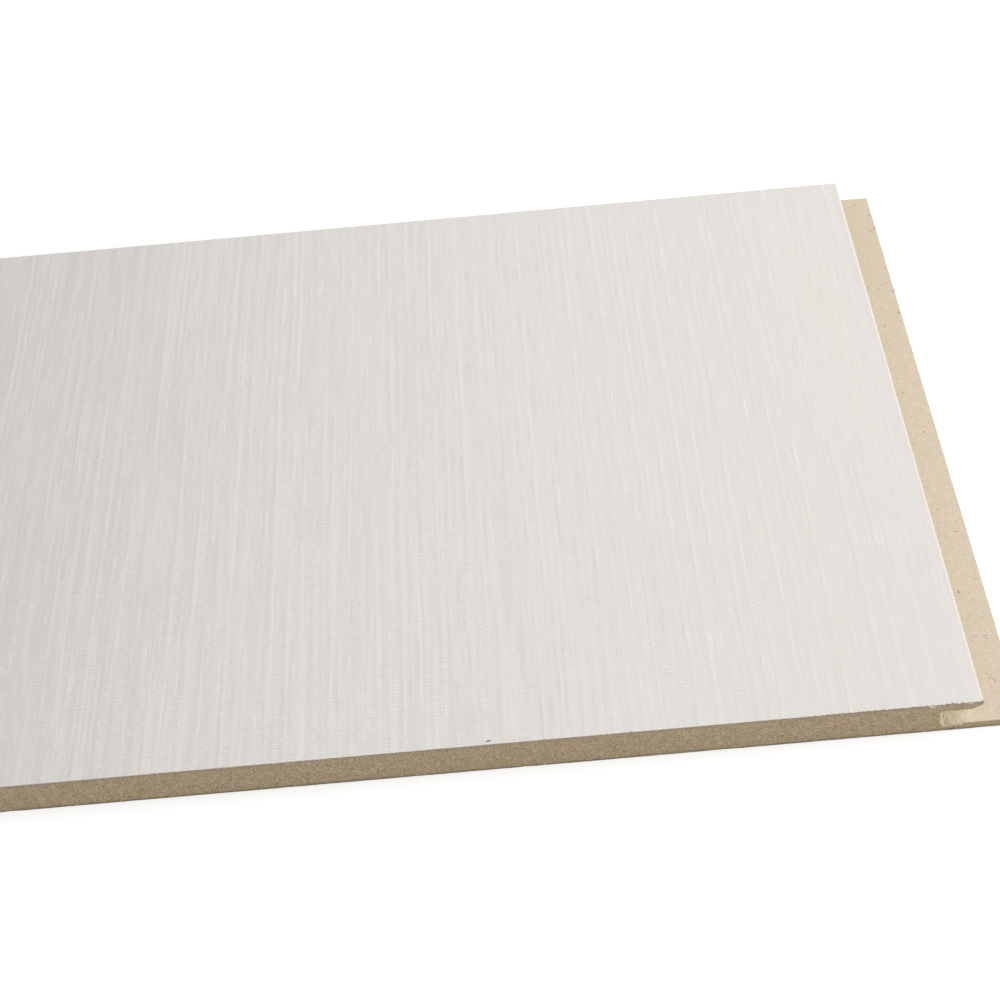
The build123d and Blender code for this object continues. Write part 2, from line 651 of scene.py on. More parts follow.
# %% The finish of the foil's face
THREAD_DARK = srgb(219, 215, 210)
THREAD_LIGHT = srgb(229, 225, 220)
# The pale and the dark colour also paint the highlight and the shade on the cross threads' sides.
PALE_AND_HIGHLIGHT = srgb(246, 244, 240)
DARK_AND_SHADE = srgb(196, 191, 184)
WARMER = srgb(226, 220, 212)
# Painted shade: the face's colour is scaled darker towards the tongue edge, where the light falls
# off.
DEEPEST_SHADE = 0.943
SHADE_FULL = -130.0
SHADE_FROM = -10.0
NICK_PLACE = (43.6, NEAR_END + 1.5)
NICK_SIZE = (0.75, 0.45)
NICK_TILT = 0.35
NICK_COLOUR = srgb(138, 132, 126)


def foil_face_finish():
    made, net, skin, place = new_material("linen_foil_face")
    threads = group_at(net, linen, place)
    x, y, _ = net.millimetres(place)
    nick = spot(net, x, y, NICK_PLACE, NICK_SIZE, NICK_TILT)
    colour = net.colours(threads["Thread"], THREAD_DARK, THREAD_LIGHT)
    # The paler and darker sides of the cross-thread dashes are painted highlight and painted
    # shade.
    for title, share, painted in (
        ("Cloud", 0.2, WARMER),
        ("Gap", 0.16, DARK_AND_SHADE),
        ("Slub", 0.28, PALE_AND_HIGHLIGHT),
        ("Weft highlight", 0.42, PALE_AND_HIGHLIGHT),
        ("Weft shade", 0.36, DARK_AND_SHADE),
        ("Nep", 0.6, PALE_AND_HIGHLIGHT),
    ):
        colour = net.colours(net.times(threads[title], share), colour, painted)
    colour = net.colours(nick, colour, NICK_COLOUR)
    # Painted shade: the colour darkens towards the tongue edge.
    shaded_colour = net.node("ShaderNodeVectorMath", operation="SCALE")
    net.put(shaded_colour.inputs[0], colour)
    net.put(shaded_colour.inputs["Scale"], net.ramp(x, SHADE_FULL, SHADE_FROM, DEEPEST_SHADE, 1.0))
    net.put(skin.inputs["Base Color"], shaded_colour.outputs[0])
    net.put(skin.inputs["Roughness"], net.ramp(threads["Thread"], 0.0, 1.0, 0.62, 0.50))
    skin.inputs["Specular IOR Level"].default_value = 0.25
    height = net.add(net.times(threads["Thread"], 0.6), net.times(threads["Weft highlight"], 0.4))
    height = net.add(height, net.times(nick, -2.0))
    bump(net, skin, height, 0.03 * MM)
    return made


# %% The finish of the foil's cut edges
PAPER_DARK = srgb(208, 203, 194)
PAPER_LIGHT = srgb(229, 225, 217)
END_BROWN = srgb(158, 144, 124)
BROWN_FROM = FAR_END - 1.0
BROWN_FULL = FAR_END - 0.7


def foil_cut_finish():
    made, net, skin, place = new_material("foil_cut_paper")
    fray = net.noise(place, scale=2200.0, detail=3.0, roughness=0.7)
    colour = net.colours(net.ramp(fray, 0.35, 0.7), PAPER_DARK, PAPER_LIGHT)
    to_end = net.math("ABSOLUTE", net.millimetres(place)[1])
    colour = net.colours(net.ramp(to_end, BROWN_FROM, BROWN_FULL, 0.0, 0.85), colour, END_BROWN)
    net.put(skin.inputs["Base Color"], colour)
    skin.inputs["Roughness"].default_value = 0.8
    bump(net, skin, fray, 0.03 * MM)
    return made


# %% Shape and dress the foil
shape_by(
    foil,
    foil_tree(),
    {
        "Emboss": 0.035,
        "Tear": 0.34,
        "Seed": 7.0,
        "Face finish": foil_face_finish(),
        "Cut finish": foil_cut_finish(),
    },
)
foil.data.set_sharp_from_angle(angle=math.radians(40))
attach(foil, "root")
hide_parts("decor_foil")
print("foil:", len(foil.data.polygons), "faces,", len(foil.data.materials), "finishes")

# %% [markdown]
# ## The board's section
# The board is one moulded section, so its outline can be read off the solid's own sawn end:
# the triangles that lie in that end, without the edges that two of them share. Reading it keeps
# the scene true to the solid if a size changes there, and gives landmarks, from which the marks
# on the sample are counted. The outline is then divided finely where raw fibreboard shows, and
# its corners lose a tenth of a millimetre, as milled ones do.

# %% Read the outline of the sawn end, and the landmarks on it
LEVEL = 1e-6


def end_outline(node):
    """The outline of a solid's near end, as (x, z) points that run anticlockwise."""
    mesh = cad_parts[node].data
    places = [(round(v.co.x, 7), round(v.co.y, 7), round(v.co.z, 7)) for v in mesh.vertices]
    near = min(p[1] for p in places)
    sides = set()
    for face in mesh.polygons:
        corners = [places[i] for i in face.vertices]
        if all(abs(p[1] - near) < LEVEL for p in corners):
            flat = [(p[0], p[2]) for p in corners]
            sides.update(zip(flat, flat[1:] + flat[:1]))
    follows = {a: b for a, b in sides if (b, a) not in sides}
    start = min(follows)
    loop = [start]
    while follows[loop[-1]] != start:
        loop.append(follows[loop[-1]])
    loop = np.array(loop)
    x, z = loop[:, 0], loop[:, 1]
    area = np.sum(x * np.roll(z, -1) - np.roll(x, -1) * z) / 2
    return loop if area > 0 else loop[::-1]


outline = end_outline("mdf_board")
inner = outline[(outline[:, 1] > board_low.z + LEVEL) & (outline[:, 1] < board_high.z - LEVEL)]
LIP_EDGE = board_high.x / MM
NOSE = foil_high.x / MM
GROOVE_BACK = inner[inner[:, 0] > 0.0][:, 0].min() / MM
LIP_TOP = outline[outline[:, 0] > foil_high.x + LEVEL][:, 1].max() / MM
BOARD_TOP = board_high.z / MM
print("outline:", len(outline), "corners")
print("lip to %.2f, nose at %.2f, groove's back at %.2f" % (LIP_EDGE, NOSE, GROOVE_BACK))
print("lip's top at %.2f, board's top at %.2f" % (LIP_TOP, BOARD_TOP))

# %% Ease its corners and divide its sides
ARRIS = 0.12 * MM
FINE_STEP = 0.5 * MM
BACK_STEP = 3.0 * MM
TOP_STEP = 1.2 * MM
EASED_TURN = math.radians(25)


def step_for(a, b):
    """How finely the side from a to b is divided: coarse on the back and under the foil."""
    if max(a[1], b[1]) < board_low.z + LEVEL:
        return BACK_STEP
    if min(a[1], b[1]) > board_high.z - LEVEL:
        return TOP_STEP
    return FINE_STEP


def divided(loop):
    """The outline with its corners eased and its sides divided."""
    points = []
    count = len(loop)
    for i in range(count):
        before, here, after = loop[i - 1], loop[i], loop[(i + 1) % count]
        into, out = here - before, after - here
        turn = math.atan2(into[0] * out[1] - into[1] * out[0], into @ out)
        if abs(turn) > EASED_TURN:
            points.append(here - into / np.linalg.norm(into) * ARRIS)
            points.append(here + out / np.linalg.norm(out) * ARRIS)
        else:
            points.append(here)
        steps = int(np.linalg.norm(out) / step_for(here, after))
        for k in range(1, steps):
            points.append(here + out * (k / steps))
    return np.array(points)


section = divided(outline)
print("section:", len(section), "points")

# %% [markdown]
# ## The board's mesh
# Rings of the outline run along the panel, close together near the sawn ends. Each end is
# closed by a cap of small triangles, so that the saw's torn fibre can be real relief there. A
# single many-sided face would stay dead flat and shade badly, so the cap is a Delaunay
# triangulation of the outline and of a jittered grid of points inside it.

# %% The cap of small triangles
CAP_STEP = 0.62 * MM
CAP_JITTER = 0.22
CAP_MARGIN = 0.55
jitter = np.random.default_rng(11)


def inside(points, loop):
    """Which points lie inside the outline, by counting crossings."""
    found = np.zeros(len(points), bool)
    for (ax, az), (bx, bz) in zip(loop, np.roll(loop, -1, 0)):
        if az == bz:
            continue
        between = (points[:, 1] > az) != (points[:, 1] > bz)
        cross = ax + (points[:, 1] - az) * (bx - ax) / (bz - az)
        found ^= between & (points[:, 0] < cross)
    return found


def far_from(points, loop, distance):
    """Which points keep that distance from all points of the outline."""
    keep = np.ones(len(points), bool)
    for place in loop:
        keep &= np.hypot(*(points - place).T) > distance
    return keep


def cap_faces(loop):
    """Points and triangles of one end. The first points are the outline's own."""
    low, high = loop.min(0), loop.max(0)
    x = np.arange(low[0], high[0], CAP_STEP)
    z = np.arange(low[1], high[1], CAP_STEP)
    grid = np.stack(np.meshgrid(x, z), -1).reshape(-1, 2)
    grid = grid + jitter.uniform(-CAP_JITTER, CAP_JITTER, grid.shape) * CAP_STEP
    grid = grid[inside(grid, loop)]
    grid = grid[far_from(grid, loop, CAP_STEP * CAP_MARGIN)]
    everything = [Vector(p) for p in np.concatenate([loop, grid])]
    ring = list(range(len(loop)))
    result = delaunay_2d_cdt(everything, [], [ring], 1, 1e-9)
    return np.array([tuple(p) for p in result[0]]), result[2]


# %% Rings, caps and named values
RING_STEP = 3.4 * MM
RING_END_STEP = 0.7 * MM
RING_END_REACH = 2.1 * MM


def inward_normals(loop):
    """For each point of an anticlockwise outline, the direction into the section."""
    along = np.roll(loop, -1, 0) - np.roll(loop, 1, 0)
    along /= np.linalg.norm(along, axis=1)[:, None]
    return np.stack([-along[:, 1], along[:, 0]], -1)


def board_mesh():
    """The milled board: rings along it, and a cap on the first ring and on the last."""
    count = len(section)
    eased = section + inward_normals(section) * ARRIS
    start, end = board_low.y + ARRIS, board_high.y - ARRIS
    stations = graded(start, end, RING_END_STEP, RING_STEP, RING_END_REACH)
    rings = [(board_low.y, eased)] + [(y, section) for y in stations] + [(board_high.y, eased)]
    points, arris, sawn = [], [], []
    for k, (y, loop) in enumerate(rings):
        edge = k in (0, len(rings) - 1)
        second = k in (1, len(rings) - 2)
        points += [(x, y, z) for x, z in loop]
        arris += [1.0 if edge else 0.7 if second else 0.0] * count
        sawn += [1.0 if edge else 0.0] * count
    faces = []
    for k in range(len(rings) - 1):
        for i in range(count):
            j = (i + 1) % count
            faces.append([k * count + j, k * count + i, (k + 1) * count + i, (k + 1) * count + j])
    flat, triangles = cap_faces(eased)
    if len(flat) < count or np.abs(flat[:count] - eased).max() > LEVEL:
        print("the cap's outline was changed by the triangulation")
    for y, first_ring, flip in (
        (board_low.y, 0, False),
        (board_high.y, (len(rings) - 1) * count, True),
    ):
        first_inner = len(points)
        points += [(x, y, z) for x, z in flat[count:]]
        arris += [0.0] * (len(flat) - count)
        sawn += [1.0] * (len(flat) - count)
        for triangle in triangles:
            ids = [first_ring + i if i < count else first_inner + i - count for i in triangle]
            faces.append(ids[::-1] if flip else ids)
    covered = np.array(points)[:, 2] > board_high.z - LEVEL
    values = {"arris": arris, "sawn": sawn, "raw": 1.0 - covered}
    print("each cap:", len(triangles), "triangles")
    return mesh_object("mdf_board_milled", points, faces, values)


board = board_mesh()
print("board:", len(board.data.polygons), "faces")

# %% [markdown]
# ## Relief of the raw fibreboard
# Sawn fibreboard is rough like felt, milled fibreboard is much smoother, and its corners crumble
# a little. A displacement texture could roughen it all alike, but one tree does all three: it
# sinks each point by noise, never outwards, deeply on the sawn ends, faintly on the milled edges,
# and in small bites along the sawn corners. The points under the foil stay where they are. The
# tree then hands out the three finishes.

# %% The relief tree
FOIL_FOOT = BOARD_TOP - 0.05
BACK_LEVEL = 0.3
FACING_DOWN = -0.8
END_ON = 0.6


def board_tree():
    """Sinks the raw faces by noise, bites the corners and hands out three finishes."""
    inputs = [
        ("Sawn relief", FLOAT, 0.09),
        ("Milled relief", FLOAT, 0.03),
        ("Corner bite", FLOAT, 0.2),
        ("Sawn finish", MATERIAL, None),
        ("Milled finish", MATERIAL, None),
        ("Back finish", MATERIAL, None),
    ]
    net, given, out = geometry_tree("raw_fibreboard", inputs)
    x, y, z = in_millimetres(net)
    place = net.vector(x, y, z)
    felt = net.noise(place, scale=1.1, detail=3.0, roughness=0.65)
    swell = net.noise(place, scale=0.25, detail=1.0)
    bites = net.noise(place, scale=0.75, detail=3.0, roughness=0.7)
    sawn = named(net, "sawn")
    milled = net.math("SUBTRACT", 1.0, sawn)
    depth = net.times(sawn, given["Sawn relief"])
    depth = net.add(depth, net.times(milled, given["Milled relief"]))
    sunk = net.times(net.add(net.times(felt, 0.75), net.times(swell, 0.25)), depth)
    bitten = net.times(net.ramp(bites, 0.48, 0.72), given["Corner bite"])
    sunk = net.add(sunk, net.times(bitten, named(net, "arris")))
    sunk = net.times(net.times(sunk, named(net, "raw")), -MM)
    offset = net.node("ShaderNodeVectorMath", operation="SCALE")
    net.put(offset.inputs[0], net.node("GeometryNodeInputNormal").outputs[0])
    net.put(offset.inputs["Scale"], sunk)
    done = realized(net, moved(net, given["Geometry"], offset.outputs[0]))

    _, along, up = net.split(net.node("GeometryNodeInputNormal").outputs[0])
    under_foil = net.math("GREATER_THAN", z, FOIL_FOOT)
    facing_down = net.math("LESS_THAN", up, FACING_DOWN)
    on_back = net.times(facing_down, net.math("LESS_THAN", z, BACK_LEVEL))
    on_end = net.math("GREATER_THAN", net.math("ABSOLUTE", along), END_ON)
    done = finished(net, done, given["Milled finish"])
    done = finished(net, done, given["Sawn finish"], under_foil)
    done = finished(net, done, given["Back finish"], on_back)
    done = finished(net, done, given["Sawn finish"], on_end)
    net.put(out["Geometry"], done)
    return net.tree


# %% [markdown]
# ## The fibre of the board
# The fibre is wheat-coloured and felted: a fine grain, curled pale strands, dark bark specks, and
# slow patches that lean to red or to green. The press makes a board denser and greyer near its
# two faces than in its middle, which shows on a sawn end as a gradient. Raw surfaces of all kinds
# share these fields, so one shader group makes them, and each finish mixes them with its own
# colours.

# %% The fibre fields as a shader group
MID_HEIGHT = BOARD_TOP / 2
DENSE_FROM = MID_HEIGHT - 1.7
DENSE_FULL = MID_HEIGHT


def fibre_group():
    """The fields that all raw fibreboard shares, each from 0 to 1."""
    titles = ["Grain", "Strands", "Specks", "Tint", "Patches", "Dense"]
    net, given, out = shader_group("felted_fibre", titles)
    x, y, z = net.millimetres(given["Vector"])
    place = net.vector(x, y, z)
    coarse = net.noise(place, scale=1.5, detail=2.0, roughness=0.6)
    fine = net.noise(net.vector(x, y, net.add(z, 40.0)), scale=3.2, detail=1.0)
    clump = net.noise(net.vector(x, net.add(y, 70.0), z), scale=0.45, detail=1.0)
    grain = net.add(net.times(coarse, 0.5), net.times(fine, 0.38))
    grain = net.add(grain, net.times(clump, 0.12))
    net.put(out["Grain"], net.ramp(grain, 0.38, 0.62))
    strands = net.noise(net.vector(x, y, net.add(z, 80.0)), scale=1.0, detail=1.0, distortion=3.0)
    shown = net.ramp(net.noise(place, scale=0.9, detail=1.0), 0.46, 0.56)
    ridge = net.band(strands, 0.5, 0.015, 0.06)
    net.put(out["Strands"], net.times(ridge, shown))
    specks = net.noise(net.vector(x, net.add(y, 30.0), z), scale=1.7, detail=1.0)
    net.put(out["Specks"], net.ramp(specks, 0.66, 0.72))
    tint = net.noise(net.vector(net.add(x, 60.0), y, z), scale=0.28, detail=4.0, roughness=0.65)
    net.put(out["Tint"], tint)
    patches = net.noise(net.vector(x, y, net.add(z, 9.0)), scale=0.12, detail=2.0)
    net.put(out["Patches"], net.ramp(patches, 0.35, 0.65))
    net.put(out["Dense"], net.ramp(net.apart(z, MID_HEIGHT), DENSE_FROM, DENSE_FULL))
    return net.tree


fibre = fibre_group()
print("felted fibre:", len(fibre.nodes), "nodes")

# %% [markdown]
# ## Marks on the sample
# What happened to this one sample comes last, as marks: each is a small function that takes a
# place in millimetres and gives a mask. The saw tore a pale rim round the groove's mouth, which
# also carries a painted highlight where its arrises catch the light, crushed the foot of its cut,
# which also carries painted shade where the end meets the floor, and left bits of paper hanging.
# Handling nicked the lip. Painted shade darkens the lip's outer corner, the lip is a little darker
# towards the far end, and painted light brightens the groove at the near end.
# Masks by place are cheap and stay sharp at any size, where a painted texture would blur. Their
# places are counted from the landmarks, so each mark stays on its feature.

# %% Marks of the saw, with painted highlight, shade and light at the sawn ends
WALL_RIM = GROOVE_BACK - 0.45
WALL_RIM_MIDDLE = LIP_TOP + 2.3
FLOOR_RIM = LIP_TOP - 0.3
FLOOR_RIM_MIDDLE = GROOVE_BACK + 2.55
NEAR_STRETCH = NEAR_END + 50.0
PAPER_BITS = [
    ((NOSE - 14.85, BOARD_TOP - 0.3), (0.9, 0.4)),
    ((NOSE - 3.55, BOARD_TOP - 0.15), (0.8, 0.18)),
]


def torn_and_highlit_mouth(net, x, y, z):
    """1 on the sawn end's torn rim by the groove's back corner, with a painted highlight, else 0.
    """
    tatter = net.noise(net.vector(x, y, z), scale=1.6, detail=2.0)
    wall = net.band(x, WALL_RIM, 0.3, 0.75)
    wall = net.times(wall, net.band(z, WALL_RIM_MIDDLE, 2.2, 2.6))
    floor = net.band(z, FLOOR_RIM, 0.2, 0.5)
    floor = net.times(floor, net.band(x, FLOOR_RIM_MIDDLE, 2.6, 3.6))
    return net.times(net.math("MAXIMUM", wall, floor), net.ramp(tatter, 0.36, 0.5))


def crushed_and_shaded_foot(net, x, y, z):
    """Rises to 0.7 at the foot of the sawn ends: crushed fibre and painted shade by the floor."""
    ragged = net.times(net.noise(net.vector(x, y, z), scale=0.8, detail=2.0), 0.6)
    return net.ramp(net.add(z, ragged), 1.5, 0.5, 0.0, 0.7)


def paper_bits(net, x, y, z):
    """0.85 in the bits of torn paper that hang over the near end's top edge, 0 elsewhere."""
    bits = 0.0
    for place, size in PAPER_BITS:
        bits = net.math("MAXIMUM", bits, spot(net, x, z, place, size))
    return net.times(net.times(bits, 0.85), net.math("LESS_THAN", y, NEAR_STRETCH))


def lit_groove_corner(net, x, y, z):
    """Up to 0.8 in the groove at the near end: painted light, in pale blotches."""
    blotch = net.ramp(net.noise(net.vector(x, y, z), scale=1.0, detail=2.0), 0.4, 0.55, 0.55, 1.0)
    corner = net.ramp(x, NOSE, NOSE - 6.0)
    corner = net.times(corner, net.ramp(y, NEAR_END + 11.0, NEAR_END + 5.0))
    low = net.math("LESS_THAN", z, LIP_TOP + 0.5)
    return net.times(net.times(corner, low), net.times(blotch, 0.8))


# %% Marks of handling, and painted shade, on the lip
LIP_NICKS = [
    ((LIP_EDGE - 1.15, FAR_END - 13.0), (0.4, 0.8)),
    ((LIP_EDGE - 0.55, FAR_END - 22.7), (0.45, 1.4)),
    ((LIP_EDGE - 2.35, FAR_END - 24.0), (0.5, 0.7)),
    ((LIP_EDGE - 0.45, FAR_END - 66.6), (0.4, 1.2)),
    ((LIP_EDGE - 0.85, FAR_END - 81.2), (0.5, 0.9)),
]
CURL_PLACE = (LIP_EDGE - 6.15, NEAR_END + 17.4)
CURL_RADIUS = 1.1


def shaded_lip_edge(net, x, y, z):
    """Painted shade on the lip's outer corner, which damps the light its arris catches."""
    return net.ramp(x, LIP_EDGE - 0.75, LIP_EDGE - 0.2, 0.0, 0.55)


def far_lip(net, x, y, z):
    """The milled lip is a little duller towards the far end."""
    return net.ramp(y, FAR_END - 130.0, FAR_END - 20.0, 0.0, 0.55)


def lip_marks(net, x, y, z):
    """0.6 in the dark nicks of the lower lip and in one curled dark fibre, 0 elsewhere."""
    marks = 0.0
    for place, size in LIP_NICKS:
        marks = net.math("MAXIMUM", marks, spot(net, x, y, place, size))
    off_x = net.add(x, -CURL_PLACE[0])
    off_y = net.add(y, -CURL_PLACE[1])
    away = net.math("SQRT", net.squares(off_x, off_y))
    curl = net.band(away, CURL_RADIUS, 0.1, 0.3)
    curl = net.times(curl, net.ramp(net.add(off_x, off_y), -0.2, 0.2))
    low = net.math("LESS_THAN", z, LIP_TOP + 0.4)
    return net.times(net.math("MAXIMUM", marks, curl), net.times(low, 0.6))


# %% [markdown]
# ## Finishes of the fibreboard
# The saw leaves the fibre browner and rougher than the cutter does, and the back is sanded. All
# three are the same stuff, so one function builds them, and they differ in their colours, in how
# much strands, specks and density show, in their roughness and in their marks. Copying a material
# and changing it would do the same, but three calls show side by side what differs.

# %% One raw finish
def fibreboard_finish(name, colours, contrast, roughness, relief, marks=()):
    """colours are (dark, light, strand, speck, red, green, dense), and relief is in metres.
    Each mark is (a function that gives a mask, the colour there)."""
    dark, light, strand, speck, red, green, dense = [srgb(*colour) for colour in colours]
    made, net, skin, place = new_material(name)
    fields = group_at(net, fibre, place)
    colour = net.colours(fields["Grain"], dark, light)
    colour = net.colours(net.ramp(fields["Tint"], 0.5, 0.66, 0.0, 0.5), colour, red)
    colour = net.colours(net.ramp(fields["Tint"], 0.5, 0.34, 0.0, 0.5), colour, green)
    colour = net.colours(net.times(fields["Dense"], contrast), colour, dense)
    colour = net.colours(net.times(fields["Strands"], contrast), colour, strand)
    colour = net.colours(net.times(fields["Specks"], contrast), colour, speck)
    x, y, z = net.millimetres(place)
    for mask, painted in marks:
        colour = net.colours(mask(net, x, y, z), colour, srgb(*painted))
    net.put(skin.inputs["Base Color"], colour)
    worn = net.add(net.times(fields["Grain"], 0.6), net.times(fields["Patches"], 0.4))
    net.put(skin.inputs["Roughness"], net.ramp(worn, 0.0, 1.0, roughness, 1.0))
    skin.inputs["Specular IOR Level"].default_value = 0.2
    height = net.add(net.times(fields["Grain"], 0.6), net.times(fields["Strands"], 0.4))
    bump(net, skin, height, relief)
    return made


# %% The three raw finishes
SAWN_COLOURS = [
    (131, 115, 91),
    (176, 158, 133),
    (184, 169, 141),
    (94, 75, 58),
    (163, 132, 117),
    (146, 137, 94),
    (138, 127, 115),
]
MILLED_COLOURS = [
    (204, 190, 168),
    (220, 206, 186),
    (230, 217, 198),
    (172, 150, 122),
    (221, 201, 181),
    (210, 199, 172),
    (213, 200, 181),
]
BACK_COLOURS = [
    (196, 176, 144),
    (214, 196, 166),
    (226, 209, 180),
    (150, 124, 92),
    (208, 182, 150),
    (198, 186, 148),
    (204, 187, 160),
]
# On the sawn ends, the torn rim also carries a painted highlight, and the dark foot painted shade.
SAWN_END_MARKS = [
    (torn_and_highlit_mouth, (204, 188, 158)),
    (crushed_and_shaded_foot, (112, 99, 80)),
    (paper_bits, (214, 206, 190)),
]
# On the milled edges, the darker lip corner is painted shade and the pale groove corner painted
# light.
MILLED_MARKS = [
    (far_lip, (209, 196, 174)),
    (shaded_lip_edge, (168, 153, 131)),
    (lip_marks, (156, 133, 107)),
    (lit_groove_corner, (240, 230, 208)),
]
sawn_finish = fibreboard_finish(
    "fibreboard_sawn", SAWN_COLOURS, contrast=0.7, roughness=0.8, relief=0.10 * MM, marks=SAWN_END_MARKS
)
milled_finish = fibreboard_finish(
    "fibreboard_milled",
    MILLED_COLOURS,
    contrast=0.5,
    roughness=0.7,
    relief=0.05 * MM,
    marks=MILLED_MARKS,
)
back_finish = fibreboard_finish(
    "fibreboard_sanded_back", BACK_COLOURS, contrast=0.4, roughness=0.65, relief=0.03 * MM
)

# %% Roughen and dress the board
shape_by(
    board,
    board_tree(),
    {
        "Sawn relief": 0.09,
        "Milled relief": 0.03,
        "Corner bite": 0.22,
        "Sawn finish": sawn_finish,
        "Milled finish": milled_finish,
        "Back finish": back_finish,
    },
)
board.data.set_sharp_from_angle(angle=math.radians(38))
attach(board, "root")
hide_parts("mdf_board")
print("board:", [m.name for m in board.data.materials])

# %% [markdown]
# ## Loose fibres, by Geometry Nodes
# A saw doesn't cut every fibre: some are pulled out and lie curled on the raw surface, pale ones
# of sapwood and a few dark ones of bark. Bump can't make an end that stands clear, and hair
# would be lost in an export, so these are thin curved tubes. Points are scattered over the raw
# faces, thickly on the sawn ends, thinly on the milled edges and in a tuft at the groove's back
# corner, where the saw tore the lip's root. Each point gets one fibre, laid flat and spun at
# random. The same tree runs once for pale fibres and once for dark ones.

# %% One fibre, and where fibres grow
TUFT_X = (GROOVE_BACK + 0.85) * MM
TUFT_Y = (NEAR_END + 0.6) * MM
TUFT_REACH = 1.7 * MM
TUFT_LOW = (LIP_TOP - 0.6) * MM
TUFT_HIGH = (LIP_TOP + 4.8) * MM


def tuft_mask(net, place):
    """1 at the upright line where the groove's back wall meets the near end, 0 elsewhere."""
    x, y, z = net.split(place)
    away = net.math("SQRT", net.squares(net.add(x, -TUFT_X), net.add(y, -TUFT_Y)))
    above = net.math("GREATER_THAN", z, TUFT_LOW)
    below = net.math("LESS_THAN", z, TUFT_HIGH)
    return net.times(net.ramp(away, TUFT_REACH, TUFT_REACH * 0.3), net.times(above, below))


def one_fibre(net, radius):
    """One fibre of unit length, bent, with three sides and closed ends."""
    bent = net.node("GeometryNodeCurvePrimitiveBezierSegment")
    bent.inputs["Resolution"].default_value = 5
    bent.inputs["Start"].default_value = (-0.5, 0.0, 0.0)
    bent.inputs["Start Handle"].default_value = (-0.22, 0.30, 0.03)
    bent.inputs["End Handle"].default_value = (0.20, 0.24, 0.05)
    bent.inputs["End"].default_value = (0.5, -0.08, 0.0)
    ring = net.node("GeometryNodeCurvePrimitiveCircle")
    ring.inputs["Resolution"].default_value = 3
    net.put(ring.inputs["Radius"], radius)
    tube = net.node("GeometryNodeCurveToMesh")
    net.put(tube.inputs["Curve"], bent.outputs["Curve"])
    net.put(tube.inputs["Profile Curve"], ring.outputs["Curve"])
    tube.inputs["Fill Caps"].default_value = True
    return tube.outputs["Mesh"]


def fibre_density(net, given):
    """How many fibres grow on a square metre: none on the back and none under the foil."""
    sawn_face = named(net, "sawn")
    milled_face = net.math("SUBTRACT", 1.0, sawn_face)
    density = net.times(sawn_face, given["Sawn density"])
    density = net.add(density, net.times(milled_face, given["Milled density"]))
    tuft = tuft_mask(net, net.node("GeometryNodeInputPosition").outputs[0])
    density = net.add(density, net.times(tuft, given["Tuft density"]))
    up = net.split(net.node("GeometryNodeInputNormal").outputs[0])[2]
    not_back = net.math("GREATER_THAN", up, FACING_DOWN)
    return net.times(net.times(density, not_back), named(net, "raw"))


# %% The tree of loose fibres
LEAN = 0.1


def random_between(net, low, high, seed, kind="FLOAT"):
    """A random number or vector for each instance, from low to high."""
    first, result = (0, 0) if kind == "FLOAT_VECTOR" else (2, 1)
    made = net.node("FunctionNodeRandomValue", data_type=kind)
    net.put(made.inputs[first], low)
    net.put(made.inputs[first + 1], high)
    net.put(made.inputs["Seed"], seed)
    return made.outputs[result]


def clipped_to_panel(net, geometry):
    """The same geometry with no point outside the panel's own box."""
    kept = net.node("ShaderNodeVectorMath", operation="MAXIMUM")
    net.put(kept.inputs[0], net.node("GeometryNodeInputPosition").outputs[0])
    kept.inputs[1].default_value = board_low
    held = net.node("ShaderNodeVectorMath", operation="MINIMUM")
    net.put(held.inputs[0], kept.outputs[0])
    held.inputs[1].default_value = (board_high.x, board_high.y, foil_high.z)
    made = net.node("GeometryNodeSetPosition")
    net.put(made.inputs["Geometry"], geometry)
    net.put(made.inputs["Position"], held.outputs[0])
    return made.outputs[0]


def loose_fibre_tree():
    """Scatters points over the raw faces and lays one fibre on each, spun at random."""
    inputs = [
        ("Sawn density", FLOAT, 350000.0),
        ("Milled density", FLOAT, 15000.0),
        ("Tuft density", FLOAT, 0.0),
        ("Shortest", FLOAT, 0.0006),
        ("Longest", FLOAT, 0.0018),
        ("Slenderness", FLOAT, 0.04),
        ("Seed", INTEGER, 1),
        ("Finish", MATERIAL, None),
    ]
    net, given, out = geometry_tree("loose_fibres", inputs)
    spots = net.node("GeometryNodeDistributePointsOnFaces", distribute_method="RANDOM")
    net.put(spots.inputs["Mesh"], given["Geometry"])
    net.put(spots.inputs["Density"], fibre_density(net, given))
    net.put(spots.inputs["Seed"], given["Seed"])

    placed = net.node("GeometryNodeInstanceOnPoints")
    net.put(placed.inputs["Points"], spots.outputs["Points"])
    net.put(placed.inputs["Instance"], one_fibre(net, given["Slenderness"]))
    net.put(placed.inputs["Rotation"], spots.outputs["Rotation"])
    size = random_between(net, given["Shortest"], given["Longest"], given["Seed"])
    net.put(placed.inputs["Scale"], size)
    spun = net.node("GeometryNodeRotateInstances")
    net.put(spun.inputs["Instances"], placed.outputs["Instances"])
    least, most = (-LEAN, -LEAN, 0.0), (LEAN, LEAN, math.tau)
    turn = random_between(net, least, most, given["Seed"], "FLOAT_VECTOR")
    net.put(spun.inputs["Rotation"], turn)

    real = clipped_to_panel(net, realized(net, spun.outputs[0]))
    net.put(out["Geometry"], finished(net, real, given["Finish"]))
    return net.tree


# %% Their finish, and the two runs of the tree
def strand_finish(name, thin, thick):
    """A matt finish that changes from one colour to the other along a strand."""
    made, net, skin, place = new_material(name)
    shade = net.noise(place, scale=900.0, detail=2.0)
    net.put(skin.inputs["Base Color"], net.colours(net.ramp(shade, 0.35, 0.65), thin, thick))
    net.put(skin.inputs["Roughness"], net.ramp(shade, 0.3, 0.7, 0.7, 0.95))
    skin.inputs["Specular IOR Level"].default_value = 0.25
    bump(net, skin, shade, 0.01 * MM)
    return made


